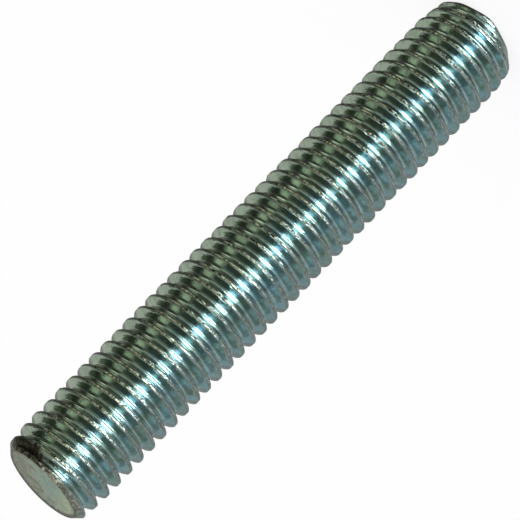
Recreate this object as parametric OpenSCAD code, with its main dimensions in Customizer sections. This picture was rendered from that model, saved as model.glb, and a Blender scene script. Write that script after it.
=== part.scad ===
// Threaded rod, M10 x 1.5 and 60 mm long, standing on its lower end.
// It is one piece of steel, with a right-hand thread from face to face and a chamfer at each end.

/* [Rod] */
// Length over both end faces
rod_len = 60; // [20:1:60]

/* [Thread] */
// Diameter over the crests
crest_d = 9.76; // [9.7:0.01:10]
// Diameter at the bottom of the roots
root_d = 8.16; // [8.1:0.01:8.4]
// Height of one turn, from a crest to the next
pitch = 1.5; // [1.5:0.05:1.75]
// Slope of each flank from a plane square to the rod
flank_angle = 30; // [25:1:30]
// Width of the flat along the bottom of the root
root_flat = 0.25; // [0.15:0.05:0.3]

/* [Ends] */
// Diameter of the flat face at the top
top_face_d = 8.06; // [7.4:0.02:8.1]
// Slope of the top chamfer from the axis
top_chamfer_angle = 45; // [30:1:50]
// Diameter of the flat face at the bottom
bottom_face_d = 7.66; // [7.4:0.02:8.1]
// Slope of the bottom chamfer from the axis
bottom_chamfer_angle = 25; // [20:1:50]
// Diameter that the crests shrink to at an end face
lead_d = 8.8; // [8.5:0.1:9.6]
// Length over which the crests grow to their full height
lead_len = 3; // [1:0.5:6]

/* [Hidden] */

crest_r = crest_d / 2;
root_r = root_d / 2;
flank_w = (crest_r - root_r) * tan(flank_angle);
crest_flat = pitch - root_flat - 2 * flank_w;

// One turn's section as [radius, height], from the lower edge of a crest to the root above it
section = [
    [crest_r, -crest_flat / 2],
    [crest_r, crest_flat / 2],
    [root_r, crest_flat / 2 + flank_w],
    [root_r, crest_flat / 2 + flank_w + root_flat],
];
corners = len(section);

// The turns start two pitches below the rod and end past its top, and the blank trims them
columns = 32;
first_z = -2 * pitch;
turns = ceil(rod_len / pitch) + 3;
rows = turns * corners;

// Radius of the blank where no thread reaches it
blank_r = crest_r + 0.5;

// Radius that the crests reach at height z
function crest_r_at(z) =
    let (from_end = max(0, min(z, rod_len - z)))
    min(crest_r, lead_d / 2 + (crest_d - lead_d) / 2 * from_end / lead_len);

// A point of the thread's surface, where each column climbs by its share of a pitch
function thread_point(column, row) =
    let (
        corner = section[row % corners],
        turn = floor(row / corners) + column / columns,
        z = first_z + turn * pitch + corner[1],
        r = min(corner[0], crest_r_at(z)),
        angle = 360 * column / columns
    )
    [r * cos(angle), r * sin(angle), z];

// A point's place in the list, where the column after the last is the first, one turn up
function place(column, row) =
    column < columns ? column * (rows + 1) + row : row + corners;

// Triangles that join a ring of points to one point on the axis
function fan(ring, centre) =
    [for (i = [0:len(ring) - 1]) [centre, ring[i], ring[(i + 1) % len(ring)]]];

module thread_turns() {
    points = [for (column = [0:columns - 1], row = [0:rows]) thread_point(column, row)];
    bottom_centre = len(points);
    top_centre = bottom_centre + 1;

    wall = [
        for (column = [0:columns - 1], row = [0:rows - 1])
            if (column < columns - 1 || row < rows - corners)
                each [
                    [place(column, row), place(column, row + 1), place(column + 1, row)],
                    [place(column + 1, row), place(column, row + 1), place(column + 1, row + 1)],
                ]
    ];
    bottom_ring = concat(
        [for (column = [0:columns - 1]) place(column, 0)],
        [for (row = [corners:-1:1]) place(0, row)]
    );
    top_ring = concat(
        [for (row = [rows - corners:rows]) place(columns - 1, row)],
        [for (column = [columns - 2:-1:0]) place(column, rows)]
    );

    polyhedron(
        points = concat(points, [[0, 0, first_z], [0, 0, first_z + turns * pitch]]),
        faces = concat(wall, fan(bottom_ring, bottom_centre), fan(top_ring, top_centre))
    );
}

// A plain round bar with flat faces and the two chamfers
module blank() {
    bottom_rise = (blank_r - bottom_face_d / 2) / tan(bottom_chamfer_angle);
    top_drop = (blank_r - top_face_d / 2) / tan(top_chamfer_angle);
    rotate_extrude($fn = 96)
        polygon([
            [0, 0],
            [bottom_face_d / 2, 0],
            [blank_r, bottom_rise],
            [blank_r, rod_len - top_drop],
            [top_face_d / 2, rod_len],
            [0, rod_len],
        ]);
}

module threaded_rod() {
    color([0.56, 0.64, 0.61])
        intersection() {
            thread_turns();
            blank();
        }
}

threaded_rod();
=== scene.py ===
"""A short M10 threaded rod, zinc-plated, standing on its lower end on a pale studio floor.

The frame gives the rod's length, its crests and its place. This script rebuilds the thread on the
same helix with rounded, slightly worn crests, gives it the look of plated steel, and lights it with
studio cards. Lengths are in millimetres, and MM turns them into metres.
"""

import math

import bmesh
import bpy
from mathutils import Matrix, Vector, noise


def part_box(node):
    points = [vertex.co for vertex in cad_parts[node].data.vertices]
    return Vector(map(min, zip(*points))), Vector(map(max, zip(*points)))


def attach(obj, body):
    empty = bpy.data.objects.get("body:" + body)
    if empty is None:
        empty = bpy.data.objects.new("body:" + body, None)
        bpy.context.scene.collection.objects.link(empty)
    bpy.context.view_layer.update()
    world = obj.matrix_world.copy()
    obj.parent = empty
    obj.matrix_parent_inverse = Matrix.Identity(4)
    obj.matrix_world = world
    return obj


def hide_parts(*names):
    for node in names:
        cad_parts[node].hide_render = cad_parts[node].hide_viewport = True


MM = 0.001

# ---- The rod ----

# The thread, as in the part's source
PITCH = 1.5
ROOT_R = 4.08
FLANK = math.radians(30)
ROOT_FLAT = 0.25

# The crests' rounding and the flanks' hollow. The source has neither, and its roots are flat.
CREST_ROUND = 0.05
FLANK_HOLLOW = 0.02

# The ends, with each chamfer's slope from the axis. BOTTOM_FACE_R, BOTTOM_CHAMFER and TOP_LEAD_R
# differ from the source, which has 3.83, 25 degrees and 4.4. The others are as there.
TOP_FACE_R = 4.03
TOP_CHAMFER = math.radians(45)
BOTTOM_FACE_R = 3.95
BOTTOM_CHAMFER = math.radians(45)
TOP_LEAD_R = 4.6
BOTTOM_LEAD_R = 4.4
LEAD_LEN = 3.0

# The top end was sheared a little off square. It keeps its full height at one side of the rod, named
# by its angle around the axis, and it bows up towards the two sides beside that one.
SHEAR = math.tan(math.radians(2.4))
HIGH_SIDE = math.radians(252.5)
BOW = 0.13

# The bottom end is square. Its chamfer runs deeper under that same side, and shallower in a short
# stretch where the thread starts.
DEEPER = 0.42
SHALLOWER = 0.46
START_SIDE = math.radians(344)
START_SHARPNESS = 20

# The top end has a closed rim before the first groove, and past it the rim falls at this slope
RIM_LEN = 0.35
RIM_FALL = 2.0

# Wear: how far crests fall short of the full height, and nicks in them where a second noise is over a
# level, this much deeper for each unit over it. Each noise has a pace around the rod and a pace for
# each millimetre along it, the shift keeps the two apart, and both wear off steeply down the flanks.
CREST_DRIFT = 0.08
DRIFT_PACE = (1.5, 0.35)
NICK_DEPTH = 0.35
NICK_PACE = (9, 1.9)
NICK_SHIFT = (7, 3)
NICK_LEVEL = 0.42
WEAR_POWER = 3

# ---- How finely it is drawn ----

# Columns around the rod, steps of the arcs in degrees, and shares of a flank and of the face's radius.
# The turns start this many pitches under the rod and end as many over it. Points closer than so many
# metres are merged, and an edge sharper than the angle is shaded as sharp.
COLUMNS = 144
CREST_STEPS = (0, 30, 60)
FLANK_STEPS = (0.33, 0.67)
ROOT_STEPS = (30, 60, 90)
FACE_RINGS = (1, 0.985, 0.96, 0.93, 0.88, 0.78, 0.6, 0.4, 0.2)
TURNS_PAST_END = 2
SAME_PLACE = 1e-7
SHARP_EDGE = math.radians(38)

# ---- The camera ----

# Its lens and sensor, its side and height in degrees, its roll, its distance, and how far the rod's
# middle lies to the right of the picture's and over it
CAMERA_LENS = 252.5
CAMERA_SENSOR = 36
CAMERA_AZIMUTH = 72.5
CAMERA_ELEVATION = 18.48
CAMERA_ROLL = 224.04
CAMERA_DISTANCE = 330.47
ROD_RIGHT_OF_CENTRE = 0.558
ROD_ABOVE_CENTRE = 0.60


def camera_axes():
    """The camera's right, up and back directions."""
    azimuth = math.radians(CAMERA_AZIMUTH)
    elevation = math.radians(CAMERA_ELEVATION)
    roll = math.radians(CAMERA_ROLL)
    back = Vector((
        math.sin(azimuth) * math.cos(elevation),
        -math.cos(azimuth) * math.cos(elevation),
        math.sin(elevation),
    ))
    level = Vector((math.cos(azimuth), math.sin(azimuth), 0))
    right = math.cos(roll) * level + math.sin(roll) * back.cross(level)
    return right, back.cross(right), back


def add_camera(middle):
    """The camera, rolled so that the standing rod runs from the lower left to the upper right."""
    right, up, back = camera_axes()
    data = bpy.data.cameras.new("camera")
    data.lens = CAMERA_LENS
    data.sensor_width = CAMERA_SENSOR
    camera = bpy.data.objects.new("camera", data)
    aim = middle - (ROD_RIGHT_OF_CENTRE * right + ROD_ABOVE_CENTRE * up) * MM
    camera.matrix_world.translation = aim + back * CAMERA_DISTANCE * MM
    for column, axis in enumerate((right, up, back)):
        for row in range(3):
            camera.matrix_world[row][column] = axis[row]
    bpy.context.scene.collection.objects.link(camera)
    bpy.context.scene.camera = camera


# ---- The thread's mesh ----


def half_section(crest_r):
    """Half a turn's section, from the middle of a crest to the middle of the root over it.

    Each point is a radius and a height over the crest's middle.
    """
    flank_w = (crest_r - ROOT_R) * math.tan(FLANK)
    half_land = (PITCH - ROOT_FLAT) / 2 - flank_w
    root_round = ROOT_FLAT / 2 * math.cos(FLANK) / (1 - math.sin(FLANK))

    arc_r = crest_r - CREST_ROUND
    arc_h = half_land - CREST_ROUND * math.tan(FLANK)
    crest, root = [(crest_r, 0)], []
    for step in CREST_STEPS:
        turn = math.radians(step)
        crest.append((arc_r + CREST_ROUND * math.cos(turn), arc_h + CREST_ROUND * math.sin(turn)))
    for step in ROOT_STEPS:
        turn = math.radians(step)
        height = PITCH / 2 - root_round * math.cos(turn)
        root.append((ROOT_R + root_round * (1 - math.sin(turn)), height))

    flank = []
    (outer_r, outer_h), (inner_r, inner_h) = crest[-1], root[0]
    for share in FLANK_STEPS:
        hollow = FLANK_HOLLOW * 4 * share * (1 - share)
        flank.append((
            outer_r + (inner_r - outer_r) * share - hollow * math.sin(FLANK),
            outer_h + (inner_h - outer_h) * share - hollow * math.cos(FLANK),
        ))
    return crest + flank + root


def section(crest_r):
    """One turn's section, from the middle of a crest to just before the next."""
    up = half_section(crest_r)
    down = [(radius, PITCH - height) for radius, height in up[-2:0:-1]]
    return up + down


def worn(radius, angle, z, crest_r):
    """A radius after wear: crests that differ a little in height, and a few nicks in them."""
    share = max(0, (radius - ROOT_R) / (crest_r - ROOT_R))
    around = Vector((math.cos(angle), math.sin(angle), 0))
    drift = abs(noise.noise(around * DRIFT_PACE[0] + Vector((0, 0, z * DRIFT_PACE[1]))))
    nick = noise.noise(around * NICK_PACE[0] + Vector((*NICK_SHIFT, z * NICK_PACE[1])))
    nick = max(0, nick - NICK_LEVEL)
    return radius - share ** WEAR_POWER * (CREST_DRIFT * drift + NICK_DEPTH * nick)


def top_at(radius, angle, length):
    """The height of the sheared top face."""
    fall = SHEAR * (TOP_FACE_R - radius * math.cos(angle - HIGH_SIDE))
    return length - fall + BOW * (radius * math.sin(angle - HIGH_SIDE) / TOP_FACE_R) ** 2


def bottom_rim(angle):
    """The radius of the bottom face."""
    deeper = DEEPER * max(0, math.cos(angle - HIGH_SIDE))
    shallower = SHALLOWER * max(0, math.cos(angle - START_SIDE)) ** START_SHARPNESS
    return BOTTOM_FACE_R - deeper + shallower


def at_ends(radius, angle, from_bottom, from_top, crest_r):
    """A radius after the chamfers, the crests that grow from each end, and the closed rim on top."""
    top_lead = TOP_LEAD_R + (crest_r - TOP_LEAD_R) * min(1, from_top / LEAD_LEN)
    bottom_lead = BOTTOM_LEAD_R + (crest_r - BOTTOM_LEAD_R) * min(1, from_bottom / LEAD_LEN)
    top = TOP_FACE_R + from_top * math.tan(TOP_CHAMFER)
    bottom = bottom_rim(angle) + from_bottom * math.tan(BOTTOM_CHAMFER)
    rim = TOP_FACE_R + RIM_LEN * math.tan(TOP_CHAMFER) - RIM_FALL * max(0, from_top - RIM_LEN)
    return min(max(radius, rim), top_lead, bottom_lead, top, bottom)


def thread_surface(length, crest_r):
    """Points and faces of the threaded side, one column of points for each step around the rod.

    Past the ends, the points gather on the rim of the end face, where they are merged later. Not so
    where the bottom's rim is wider than the roots, beside the thread's start: there they stay apart,
    a few small faces lie folded flat against the bottom face, and some edges are left open.
    """
    shape = section(crest_r)
    corners = len(shape)
    turns = math.ceil(length / PITCH) + 2 * TURNS_PAST_END
    rows = turns * corners
    points = []
    for column in range(COLUMNS):
        angle = math.tau * column / COLUMNS
        top = top_at(TOP_FACE_R, angle, length)
        for row in range(rows + 1):
            radius, height = shape[row % corners]
            z = (row // corners - TURNS_PAST_END + column / COLUMNS) * PITCH + height
            z = min(max(z, 0), top)
            radius = at_ends(worn(radius, angle, z, crest_r), angle, z, top - z, crest_r)
            points.append((radius * math.cos(angle), radius * math.sin(angle), z))

    def place(column, row):
        return column * (rows + 1) + row if column < COLUMNS else row + corners

    faces = []
    for column in range(COLUMNS):
        for row in range(rows - corners):
            faces.append((
                place(column, row),
                place(column + 1, row),
                place(column + 1, row + 1),
                place(column, row + 1),
            ))
    return points, faces


def end_face(rim_at, height_at, outward):
    """Points and faces of an end, in rings from the rim to the centre."""
    points = []
    for ring in FACE_RINGS:
        for column in range(COLUMNS):
            angle = math.tau * column / COLUMNS
            radius = rim_at(angle) * ring
            points.append((radius * math.cos(angle), radius * math.sin(angle), height_at(radius, angle)))
    centre = len(points)
    points.append((0, 0, height_at(0, 0)))

    faces = []
    for column in range(COLUMNS):
        after = (column + 1) % COLUMNS
        for ring in range(len(FACE_RINGS) - 1):
            near, far = ring * COLUMNS, (ring + 1) * COLUMNS
            faces.append((near + column, near + after, far + after, far + column))
        last = (len(FACE_RINGS) - 1) * COLUMNS
        faces.append((last + column, last + after, centre))
    if outward < 0:
        faces = [face[::-1] for face in faces]
    return points, faces


def rod_mesh(length, crest_r):
    """The whole rod as one mesh in metres, whose rims are still to be merged."""
    points, faces = [], []
    for part_points, part_faces in (
        thread_surface(length, crest_r),
        end_face(lambda angle: TOP_FACE_R, lambda radius, angle: top_at(radius, angle, length), 1),
        end_face(bottom_rim, lambda radius, angle: 0, -1),
    ):
        start = len(points)
        points += [tuple(x * MM for x in point) for point in part_points]
        faces += [tuple(start + i for i in face) for face in part_faces]
    mesh = bpy.data.meshes.new("rod_body")
    mesh.from_pydata(points, [], faces)
    return mesh


def merge_rims(mesh):
    """Joins the points that share a place at the two rims, and drops the faces that they close."""
    work = bmesh.new()
    work.from_mesh(mesh)
    bmesh.ops.remove_doubles(work, verts=work.verts, dist=SAME_PLACE)
    bmesh.ops.dissolve_degenerate(work, edges=work.edges, dist=SAME_PLACE)
    work.to_mesh(mesh)
    work.free()


def add_rod():
    """The rod's one piece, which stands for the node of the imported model."""
    low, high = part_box("threaded_rod")
    mesh = rod_mesh((high.z - low.z) / MM, high.x / MM)
    merge_rims(mesh)
    mesh.shade_smooth()
    mesh.set_sharp_from_angle(angle=SHARP_EDGE)
    rod = bpy.data.objects.new("rod_body", mesh)
    bpy.context.scene.collection.objects.link(rod)
    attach(rod, "root")
    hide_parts("threaded_rod")
    return rod


# ---- Materials ----


class Nodes:
    """Short calls for building one node tree. A value is a number, a colour or a node's output."""

    def __init__(self, tree):
        self.tree = tree
        tree.nodes.clear()

    def add(self, kind, inputs=(), **settings):
        """A node with its settings, and its inputs by number or name."""
        node = self.tree.nodes.new(kind)
        for name, value in settings.items():
            setattr(node, name, value)
        for key, value in dict(inputs).items():
            if isinstance(value, bpy.types.NodeSocket):
                self.tree.links.new(value, node.inputs[key])
            else:
                node.inputs[key].default_value = value
        return node

    def math(self, operation, *values):
        """A sum, product or other operation on numbers."""
        return self.add("ShaderNodeMath", enumerate(values), operation=operation).outputs[0]

    def vector(self, operation, *values):
        """An operation on vectors, which gives a number or a vector."""
        node = self.add("ShaderNodeVectorMath", enumerate(values), operation=operation)
        return node.outputs["Value" if operation in ("DOT_PRODUCT", "LENGTH", "DISTANCE") else "Vector"]

    def noise(self, place, size, detail=2.0):
        """Noise from 0 to 1 with blots about `size` millimetres across, for a place in millimetres."""
        inputs = {"Vector": place, "Scale": 1 / size, "Detail": detail}
        return self.add("ShaderNodeTexNoise", inputs).outputs[0]

    def fade(self, value, start, end):
        """0 where the value is start or beyond, smoothly to 1 at end."""
        if start < end:
            bounds = {1: start, 2: end, 3: 0.0, 4: 1.0}
        else:
            bounds = {1: end, 2: start, 3: 1.0, 4: 0.0}
        node = self.add("ShaderNodeMapRange", {0: value, **bounds}, interpolation_type="SMOOTHSTEP")
        return node.outputs[0]

    def lerp(self, share, first, second):
        """A number that is first where the share is 0 and second where it is 1."""
        return self.add("ShaderNodeMix", {0: share, 2: first, 3: second}).outputs[0]

    def blend(self, share, first, second, how="MIX"):
        """A colour that goes from first to second, or by another way of mixing, with the share."""
        inputs = {0: share, 6: first, 7: second}
        return self.add("ShaderNodeMix", inputs, data_type="RGBA", blend_type=how).outputs[2]


def new_material(name):
    """A material and its empty node tree."""
    material = bpy.data.materials.new(name)
    material.use_nodes = True
    return material, Nodes(material.node_tree)


# Colours of the plated surface, in linear light
FILM_GREEN = (0.40, 0.50, 0.42, 1)
FILM_BLUE = (0.345, 0.505, 0.545, 1)
FILM_STAIN = (0.66, 0.68, 0.66, 1)
# Painted light: the film on the flanks under the crests is multiplied by this, over 1, so that they look
# lit
PAINTED_FLANK_LIGHT = (1.34, 1.25, 1.20, 1)
CREST_OLIVE = (0.14, 0.17, 0.115, 1)
CREST_GREY = (0.265, 0.31, 0.295, 1)
LINE_GOLD = (0.88, 0.93, 0.62, 1)
LINE_PALE = (0.54, 0.59, 0.57, 1)
RIM_BROWN = (0.165, 0.17, 0.12, 1)
RIM_GREY = (0.27, 0.30, 0.25, 1)
RIM_BEAD = (0.55, 0.53, 0.49, 1)
FACE_PALE = (0.335, 0.40, 0.31, 1)
FACE_BLUE = (0.25, 0.385, 0.315, 1)
FACE_YELLOW = (0.415, 0.485, 0.345, 1)
FACE_BROWN = (0.265, 0.29, 0.215, 1)
FACE_STAIN = (0.82, 0.84, 0.78, 1)
FACE_RIM = (0.095, 0.10, 0.075, 1)
GRIME = (0.035, 0.030, 0.022, 1)
GRIME_BROWN = (0.10, 0.095, 0.065, 1)

# How large the blots of each noise are, in millimetres, and how much finer detail the larger ones
# carry. The marks of rolling are stretched along the helix.
GRAIN_SIZE = 0.16
BEAD_SIZE = 0.33
BLOT_SIZE = 0.7
PATCH_SIZE = 1.8
CLOUD_SIZE = 5.0
ROLLED_SIZE = 0.09
ROLLED_STRETCH = (0.06, 1, 1)
FINE_DETAIL = 3.0

# Roughness of each finish, and what a stain adds to it
ROUGH_FILM = 0.10
ROUGH_CREST = 0.27
ROUGH_LINE = 0.34
ROUGH_STAIN = 0.07
ROUGH_FACE = 0.5
ROUGH_GRIME = 0.55

# Relief that each noise gives, in millimetres. A pair is for the clean film and for the dull crests.
GRAIN_RELIEF = (0.007, 0.03)
BEAD_RELIEF = (0.0, 0.06)
ROLLED_RELIEF = 0.009
BLOT_RELIEF = 0.025

# The bright line that was rolled along the crest wavers around this height over the crest's middle.
# It lies a hair under it.
CREST_LINE = -0.005

# Edges in millimetres, from where each finish ends to where it is full: the line by its distance from
# its middle, the crest by its distance past its half width, which differs from olive to grey, the
# painted light on the flank under a crest by its height over the crest, and the rest by their
# distance from an end face
LINE_EDGE = (0.085, 0.04)
CREST_HALF_WIDTH = (0.11, 0.13)
CREST_EDGE = (0.06, -0.04)
PAINTED_FLANK_LIGHT_EDGE = (-0.10, -0.22)
RIM_EDGE = (0.75, 0.4)
FOOT_EDGE = (0.75, 0.35)
FACE_EDGE = (0.05, 0.02)

# The film turns from green to blue, and the crests from olive to grey, towards this side of the rod
BLUE_SIDE = (-0.30, -0.95, 0)

# The end faces are brown and pitted towards this side
FACE_BROWN_SIDE = (-0.30, 0.95, 0)

# Their dark rim is widest towards this side
FACE_FAR_SIDE = (-1.0, -0.1, 0)

# The middle of the grime on the chamfer of the top end: its angle around the rod as a share of a turn,
# its distance from the axis and its depth under the face. A distance from there is counted this many
# times in each of the three, and the grime goes from its edge to full over the last pair.
GRIME_TURN = 0.098
GRIME_RADIUS = 4.25
GRIME_DEPTH = 0.7
GRIME_SCALE = (9, 1.2, 0.95)
GRIME_EDGE = (1.85, 1.35)


def plated_steel(length, crest_r):
    """Zinc-plated steel with its film, dull crests, grime and relief, all by place on the rod.

    In a fade of noise, the two numbers are levels of that noise.
    """
    material, nodes = new_material("zinc_plated_steel")
    place = nodes.add("ShaderNodeTexCoord").outputs["Object"]
    place = nodes.add("ShaderNodeVectorMath", {0: place, "Scale": 1 / MM}, operation="SCALE").outputs[0]
    x, y, z = nodes.add("ShaderNodeSeparateXYZ", {0: place}).outputs
    radius = nodes.vector("LENGTH", nodes.vector("MULTIPLY", place, (1, 1, 0)))

    # The thread unrolled: how far along the helix, and how far over or under the nearest crest
    turn = nodes.math("DIVIDE", nodes.math("ARCTAN2", y, x), math.tau)
    rise = nodes.math("SUBTRACT", nodes.math("DIVIDE", z, PITCH), turn)
    off_crest = nodes.math("WRAP", rise, 0.5, -0.5)
    along = nodes.math("ADD", nodes.math("SUBTRACT", rise, off_crest), turn)
    over_crest = nodes.math("MULTIPLY", off_crest, PITCH)
    along = nodes.math("MULTIPLY", along, math.tau * crest_r)
    unrolled = nodes.add("ShaderNodeCombineXYZ", {0: along, 1: over_crest}).outputs[0]

    grain = nodes.noise(place, GRAIN_SIZE)
    beads = nodes.noise(place, BEAD_SIZE)
    blots = nodes.noise(place, BLOT_SIZE, FINE_DETAIL)
    patches = nodes.noise(place, PATCH_SIZE, FINE_DETAIL)
    clouds = nodes.noise(place, CLOUD_SIZE)
    rolled = nodes.noise(nodes.vector("MULTIPLY", unrolled, ROLLED_STRETCH), ROLLED_SIZE)

    # How far under the sheared and bowed top face
    slope = (SHEAR * math.cos(HIGH_SIDE), SHEAR * math.sin(HIGH_SIDE), -1)
    from_top = nodes.math("ADD", nodes.vector("DOT_PRODUCT", place, slope), length - SHEAR * TOP_FACE_R)
    beside = (-math.sin(HIGH_SIDE) / TOP_FACE_R, math.cos(HIGH_SIDE) / TOP_FACE_R, 0)
    bowed = nodes.math("POWER", nodes.math("ABSOLUTE", nodes.vector("DOT_PRODUCT", place, beside)), 2)
    from_top = nodes.math("MULTIPLY_ADD", bowed, BOW, from_top)

    # Masks, 0 to 1
    wobble = nodes.math("MULTIPLY_ADD", blots, 0.3, -0.15)
    waver = nodes.math("MULTIPLY_ADD", patches, 0.14, -0.07 - CREST_LINE)
    from_line = nodes.math("ABSOLUTE", nodes.math("ADD", over_crest, waver))
    to_blue = nodes.vector("DOT_PRODUCT", place, BLUE_SIDE)
    greyed = nodes.fade(nodes.math("MULTIPLY_ADD", patches, 3, to_blue), 1.5, 4.5)
    greyed = nodes.math("MAXIMUM", greyed, nodes.fade(to_blue, -3.4, -4.6))
    half_width = nodes.lerp(greyed, *CREST_HALF_WIDTH)
    crest_edge = nodes.math("SUBTRACT", nodes.math("ADD", from_line, wobble), half_width)
    on_crest = nodes.fade(crest_edge, *CREST_EDGE)
    beaded = nodes.math("MULTIPLY", nodes.fade(beads, 0.40, 0.56), nodes.fade(grain, 0.32, 0.52))
    beaded = nodes.math("MULTIPLY", beaded, nodes.fade(to_blue, -4.4, -1.6))
    on_line = nodes.math("MULTIPLY", nodes.fade(from_line, *LINE_EDGE), beaded)
    # The flanks under the crests, where light is painted into the film
    painted_flank_light = nodes.fade(over_crest, *PAINTED_FLANK_LIGHT_EDGE)
    on_rim = nodes.fade(nodes.math("ADD", from_top, wobble), *RIM_EDGE)
    foot_edge = nodes.math("MULTIPLY_ADD", nodes.math("ABSOLUTE", to_blue), -0.1, z)
    on_foot = nodes.fade(nodes.math("MULTIPLY_ADD", patches, 0.8, foot_edge), *FOOT_EDGE)
    on_face = nodes.math("MAXIMUM", nodes.fade(from_top, *FACE_EDGE), nodes.fade(z, *FACE_EDGE))
    specks = nodes.math("MULTIPLY", nodes.fade(beads, 0.43, 0.33), nodes.lerp(greyed, 1.0, 0.4))
    dull = nodes.math("MAXIMUM", on_crest, nodes.math("MAXIMUM", on_rim, on_foot))
    grime_gap = nodes.add("ShaderNodeCombineXYZ", {
        0: nodes.math("MULTIPLY", nodes.math("SUBTRACT", turn, GRIME_TURN), GRIME_SCALE[0]),
        1: nodes.math("MULTIPLY", nodes.math("SUBTRACT", radius, GRIME_RADIUS), GRIME_SCALE[1]),
        2: nodes.math("MULTIPLY", nodes.math("SUBTRACT", from_top, GRIME_DEPTH), GRIME_SCALE[2]),
    }).outputs[0]
    mottle = nodes.math("MULTIPLY_ADD", beads, 0.6, blots)
    in_grime = nodes.fade(nodes.math("ADD", nodes.vector("LENGTH", grime_gap), mottle), *GRIME_EDGE)

    # Colour of the plated thread
    blueness = nodes.fade(nodes.math("MULTIPLY_ADD", clouds, 4, to_blue), -0.3, 2.4)
    blueness = nodes.math("MULTIPLY", blueness, nodes.lerp(nodes.fade(patches, 0.42, 0.6), 1.0, 0.5))
    film = nodes.blend(blueness, FILM_GREEN, FILM_BLUE)
    # Painted light: the flanks under the crests are made brighter than the film elsewhere
    film = nodes.blend(painted_flank_light, film, PAINTED_FLANK_LIGHT, "MULTIPLY")
    stain = nodes.math("MULTIPLY_ADD", patches, 0.5, nodes.math("MULTIPLY", blots, 0.5))
    stain = nodes.fade(stain, 0.42, 0.62)
    stain = nodes.math("MAXIMUM", nodes.math("MULTIPLY", stain, 0.7), nodes.fade(beads, 0.38, 0.26))
    film = nodes.blend(stain, film, FILM_STAIN, "MULTIPLY")
    whitened = nodes.fade(nodes.math("MULTIPLY_ADD", patches, 3, to_blue), 0.5, 2.5)
    line = nodes.blend(whitened, LINE_GOLD, LINE_PALE)
    crest = nodes.blend(greyed, CREST_OLIVE, CREST_GREY)
    crest = nodes.blend(nodes.math("MULTIPLY", on_line, nodes.lerp(greyed, 1.0, 0.45)), crest, line)
    rim = nodes.blend(greyed, RIM_BROWN, RIM_GREY)
    rim = nodes.blend(nodes.fade(beads, 0.53, 0.60), rim, RIM_BEAD)
    crest = nodes.blend(on_rim, crest, rim)
    crest = nodes.blend(specks, crest, GRIME)
    colour = nodes.blend(dull, film, crest)

    # Colour of both end faces: bare towards one side, brown and pitted towards the other
    face_side = nodes.vector("DOT_PRODUCT", place, FACE_BROWN_SIDE)
    browned = nodes.fade(nodes.math("MULTIPLY_ADD", blots, 7, face_side), 3.0, 5.6)
    yellowed = nodes.fade(nodes.math("MULTIPLY_ADD", clouds, 3, to_blue), 2.6, 4.6)
    flat = nodes.blend(nodes.fade(clouds, 0.3, 0.7), FACE_PALE, FACE_BLUE)
    flat = nodes.blend(yellowed, flat, FACE_YELLOW)
    flat = nodes.blend(browned, flat, FACE_BROWN)
    far_out = nodes.math("MULTIPLY_ADD", nodes.vector("DOT_PRODUCT", place, FACE_FAR_SIDE), 0.1, radius)
    near_edge = nodes.fade(nodes.math("MULTIPLY_ADD", beads, 1.4, far_out), 4.25, 4.6)
    flat = nodes.blend(nodes.fade(blots, 0.46, 0.60), flat, FACE_STAIN, "MULTIPLY")
    flat = nodes.blend(near_edge, flat, FACE_RIM)
    pitted = nodes.math("MAXIMUM", nodes.math("MAXIMUM", browned, near_edge), 0.25)
    pits = nodes.math("MULTIPLY", nodes.fade(beads, 0.45, 0.32), pitted)
    flat = nodes.blend(nodes.math("MULTIPLY", pits, 0.6), flat, GRIME)
    colour = nodes.blend(on_face, colour, flat)
    grime = nodes.blend(nodes.fade(beads, 0.45, 0.65), GRIME, GRIME_BROWN)
    colour = nodes.blend(in_grime, colour, grime)

    # Gloss
    rough = nodes.lerp(dull, ROUGH_FILM, ROUGH_CREST)
    rough = nodes.lerp(on_line, rough, ROUGH_LINE)
    rough = nodes.math("MULTIPLY_ADD", stain, ROUGH_STAIN, rough)
    rough = nodes.lerp(on_face, rough, ROUGH_FACE)
    rough = nodes.lerp(in_grime, rough, ROUGH_GRIME)

    # Relief, in millimetres
    relief = nodes.math("MULTIPLY", grain, nodes.lerp(dull, *GRAIN_RELIEF))
    relief = nodes.math("MULTIPLY_ADD", beads, nodes.lerp(dull, *BEAD_RELIEF), relief)
    relief = nodes.math("MULTIPLY_ADD", rolled, ROLLED_RELIEF, relief)
    relief = nodes.math("MULTIPLY_ADD", blots, BLOT_RELIEF, relief)
    bump = nodes.add("ShaderNodeBump", {"Height": relief, "Distance": MM, "Strength": 1.0})

    shader = nodes.add("ShaderNodeBsdfPrincipled", {
        "Base Color": colour,
        "Metallic": 1.0,
        "Roughness": rough,
        "Normal": bump.outputs[0],
    })
    nodes.add("ShaderNodeOutputMaterial", {"Surface": shader.outputs["BSDF"]})
    return material


# ---- Studio ----

# The farthest card's distance from the rod, how much nearer each next one hangs, how many degrees lie
# between its points, and how far it keeps from the mirrors that only show the camera their edge
DOME_R = 400
CARD_GAP = 5
CARD_STEP = 2
EDGE_GAP = 2

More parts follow.
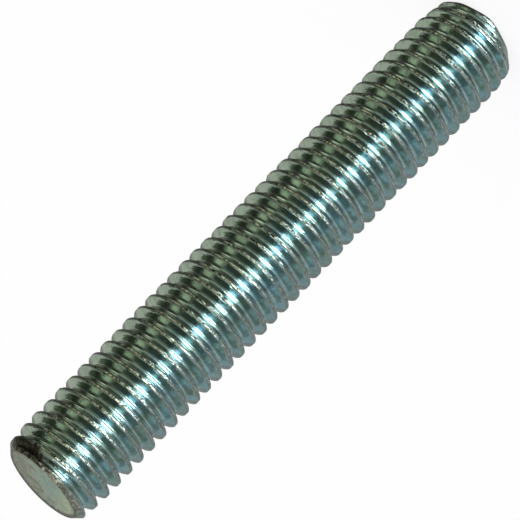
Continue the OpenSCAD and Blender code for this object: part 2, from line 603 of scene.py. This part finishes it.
# The rod's threaded side mirrors these cards and the screens rather than the pale background: the
# first card stands before nearly all of the world, and the floor is hidden from reflections. No card
# hangs where a mirror tilted over 76 degrees looks, so the upper end face shows the camera that world.
#
# Each card is named by the mirrors that show it to the camera: their least and most turn to the
# right of the camera, their least and most tilt up, and over how many degrees its edges fade. Its
# brightness and its tint follow. A later card hangs in front of the ones before it.
CARDS = {
    "room": (-180, 180, -75, 76, 3, 0.30, (0.97, 1, 0.95)),
    "left_far_low": (-89, -56, -75, 42, 4.5, 0.24, (1, 1, 0.88)),
    "left_far_high": (-92, -42, 36, 76, 9, 0.63, (1, 1, 0.91)),
    "left_dark": (-63, -24, -75, 42, 9, 0.075, (1, 1, 0.85)),
    "front_low": (-30, 0, -75, 5, 4.5, 0.11, (1, 1, 0.9)),
    "front_left": (-28, -4, 3, 75, 4.5, 0.42, (1, 1, 0.88)),
    "front_right": (17, 36, 2, 75, 4.5, 0.55, (0.95, 1, 1)),
    "right_wall": (33, 70, -75, 75, 4.5, 0.50, (1, 0.95, 0.90)),
    "right_far": (64, 89, -75, 75, 4.5, 0.44, (0.85, 1, 1)),
    "right_low": (36, 66, -16, 5, 4.5, 0.85, (0.95, 1, 1)),
    "left_patch": (-47, -26, -18, 11, 8, 1.1, (1, 1, 0.92)),
    "key_chamfer": (-8, 18, -60, -20, 4.5, 6.0, (1, 1, 1)),
    "key_rim": (-10, 12, 38, 52, 4.5, 2.4, (1, 1, 1)),
    "key_soft": (-9, 29, 3, 25, 6, 1.3, (1, 1, 1)),
    "key_foot": (1, 14, -17, -2, 4.5, 1.0, (0.95, 1, 1)),
    "key_low": (0, 13, -8, 6, 5, 3.8, (0.60, 0.85, 1)),
    "key_core": (-2.5, 19, 3.2, 13, 5, 20.0, (1, 1, 1)),
}

# Two tall plain cards close beside the rod, each named by how far its edges hang to the right of the
# rod's axis, and by its brightness. They hide the key lights from the rod's sides, whose edges would
# burn out in views from behind.
SCREENS = {
    "left_screen": (-5.4, -4.05, 0.22),
    "right_screen": (4.05, 8.2, 0.45),
}

# How far the screens hang from the axis towards the camera, how far they reach past the rod's ends, and
# their tint
SCREEN_FORWARD = 3.0
SCREEN_PAST_ENDS = 4.0
SCREEN_TINT = (1, 0.97, 0.94)

# The floor reaches this many metres each way. Its share of plain white, where that shows, leaves the
# rest to the paper, which keeps the shadow.
FLOOR_HALF = 3.0
FLOOR_WHITE = 0.85
PAPER = (0.95, 0.95, 0.95, 1)


def card_material(name, colour, strength):
    """A glowing card that fades to nothing where its "glow" does."""
    material, nodes = new_material(name)
    light = nodes.add("ShaderNodeEmission", {"Color": (*colour, 1), "Strength": strength})
    mix = nodes.add("ShaderNodeMixShader", {
        0: nodes.add("ShaderNodeAttribute", attribute_name="glow").outputs["Fac"],
        1: nodes.add("ShaderNodeBsdfTransparent").outputs[0],
        2: light.outputs[0],
    })
    nodes.add("ShaderNodeOutputMaterial", {"Surface": mix.outputs[0]})
    return material


def level_axes():
    """The level directions towards the camera and to the right of it in the picture."""
    azimuth = math.radians(CAMERA_AZIMUTH)
    front = Vector((math.sin(azimuth), -math.cos(azimuth), 0))
    right = Vector((-math.cos(azimuth), -math.sin(azimuth), 0))
    return front, right


def shown_by_mirror(side, tilt):
    """The direction that the camera sees in a mirror on the rod, turned and tilted in degrees."""
    front, right = level_axes()
    to_camera = camera_axes()[2]
    side, tilt = math.radians(side), math.radians(tilt)
    facing = (front * math.cos(side) + right * math.sin(side)) * math.cos(tilt)
    facing.z = math.sin(tilt)
    return facing * (2 * facing.dot(to_camera)) - to_camera


def lowest_tilt(side):
    """The tilt at which a mirror turned to a side shows its edge to the camera, in degrees."""
    slope = math.cos(math.radians(side)) / math.tan(math.radians(CAMERA_ELEVATION))
    return -math.degrees(math.atan(slope))


def feathered(value, low, high, feather):
    """1 inside a card, falling to 0 at its edges."""
    share = max(0, min(1, (value - low) / feather, (high - value) / feather))
    return share * share * (3 - 2 * share)


def hang_card(name, points, faces, glow, strength, tint):
    """A card that only reflections show."""
    mesh = bpy.data.meshes.new(name)
    mesh.from_pydata(points, [], faces)
    mesh.attributes.new("glow", "FLOAT", "POINT").data.foreach_set("value", glow)
    mesh.materials.append(card_material(name, tint, strength))
    card = bpy.data.objects.new(name, mesh)
    card.visible_camera = False
    card.visible_diffuse = False
    card.visible_transmission = False
    card.visible_shadow = False
    bpy.context.scene.collection.objects.link(card)
    return card


def add_screen(name, near, far, strength, bottom, top):
    """A screen from under the rod's bottom to over its top, which blocks the light of cards past it."""
    front, right = level_axes()
    points = []
    for z in (bottom - SCREEN_PAST_ENDS * MM, top + SCREEN_PAST_ENDS * MM):
        for aside in (near, far):
            points.append((front * SCREEN_FORWARD + right * aside) * MM + Vector((0, 0, z)))
    screen = hang_card(name, points, [(0, 1, 3, 2)], [1] * 4, strength, SCREEN_TINT)
    screen.visible_shadow = True


def add_card(name, left, right, low, high, feather, strength, tint, radius, middle):
    """A card curved around the rod, where the mirrors that name it look."""
    across = math.ceil((right - left) / CARD_STEP)
    over = math.ceil((high - low) / CARD_STEP)
    points, faces, glow = [], [], []
    for i in range(across + 1):
        side = left + (right - left) * i / across
        lowest = max(low, lowest_tilt(side) + EDGE_GAP)
        for j in range(over + 1):
            tilt = lowest + (high - lowest) * j / over
            points.append(middle + shown_by_mirror(side, tilt) * radius * MM)
            glow.append(feathered(side, left, right, feather) * feathered(tilt, low, high, feather))
    for i in range(across):
        for j in range(over):
            first = i * (over + 1) + j
            faces.append((first, first + over + 1, first + over + 2, first + 1))
    hang_card(name, points, faces, glow, strength, tint)


def floor_paper():
    """White paper that keeps a soft shadow of the rod, and whose own white shows to the camera.

    It would show to glossy and transmission rays too, but add_floor hides the floor from glossy ones.
    """
    material, nodes = new_material("floor_paper")
    rays = nodes.add("ShaderNodeLightPath").outputs
    seen = nodes.math("MAXIMUM", rays["Is Camera Ray"], rays["Is Glossy Ray"])
    seen = nodes.math("MAXIMUM", seen, rays["Is Transmission Ray"])
    paper = nodes.add("ShaderNodeBsdfDiffuse", {"Color": PAPER})
    white = nodes.add("ShaderNodeEmission", {"Color": (1, 1, 1, 1), "Strength": 1.0})
    mix = nodes.add("ShaderNodeMixShader", {
        0: nodes.math("MULTIPLY", seen, FLOOR_WHITE),
        1: paper.outputs[0],
        2: white.outputs[0],
    })
    nodes.add("ShaderNodeOutputMaterial", {"Surface": mix.outputs[0]})
    return material


def add_floor():
    """The floor, which the rod doesn't mirror, so that the cards below its level can show."""
    half = FLOOR_HALF
    corners = [(-half, -half, 0), (half, -half, 0), (half, half, 0), (-half, half, 0)]
    mesh = bpy.data.meshes.new("floor")
    mesh.from_pydata(corners, [], [(0, 1, 2, 3)])
    mesh.materials.append(floor_paper())
    floor = bpy.data.objects.new("floor", mesh)
    floor.visible_glossy = False
    bpy.context.scene.collection.objects.link(floor)


def set_world():
    """A plain white world, which lights the floor and shows past its edge."""
    world = bpy.data.worlds.new("studio")
    bpy.context.scene.world = world
    world.use_nodes = True
    nodes = Nodes(world.node_tree)
    sky = nodes.add("ShaderNodeBackground", {"Color": (1, 1, 1, 1), "Strength": 1.0})
    nodes.add("ShaderNodeOutputWorld", {"Surface": sky.outputs[0]})


# ---- The scene ----

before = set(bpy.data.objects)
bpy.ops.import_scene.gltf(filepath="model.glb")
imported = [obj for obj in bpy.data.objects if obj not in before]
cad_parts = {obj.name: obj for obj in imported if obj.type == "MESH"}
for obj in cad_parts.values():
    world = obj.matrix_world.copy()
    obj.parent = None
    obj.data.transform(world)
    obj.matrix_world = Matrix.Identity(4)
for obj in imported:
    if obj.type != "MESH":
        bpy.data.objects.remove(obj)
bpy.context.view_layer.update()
rod_low, rod_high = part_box("threaded_rod")
rod_middle = (rod_low + rod_high) / 2

rod = add_rod()
rod.data.materials.append(plated_steel((rod_high.z - rod_low.z) / MM, rod_high.x / MM))
add_camera(rod_middle)
add_floor()
set_world()
for screen_name, screen in SCREENS.items():
    add_screen(screen_name, *screen, rod_low.z, rod_high.z)
for order, (card_name, card) in enumerate(CARDS.items()):
    add_card(card_name, *card, DOME_R - CARD_GAP * order, rod_middle)
bpy.context.scene.view_settings.view_transform = "Standard"
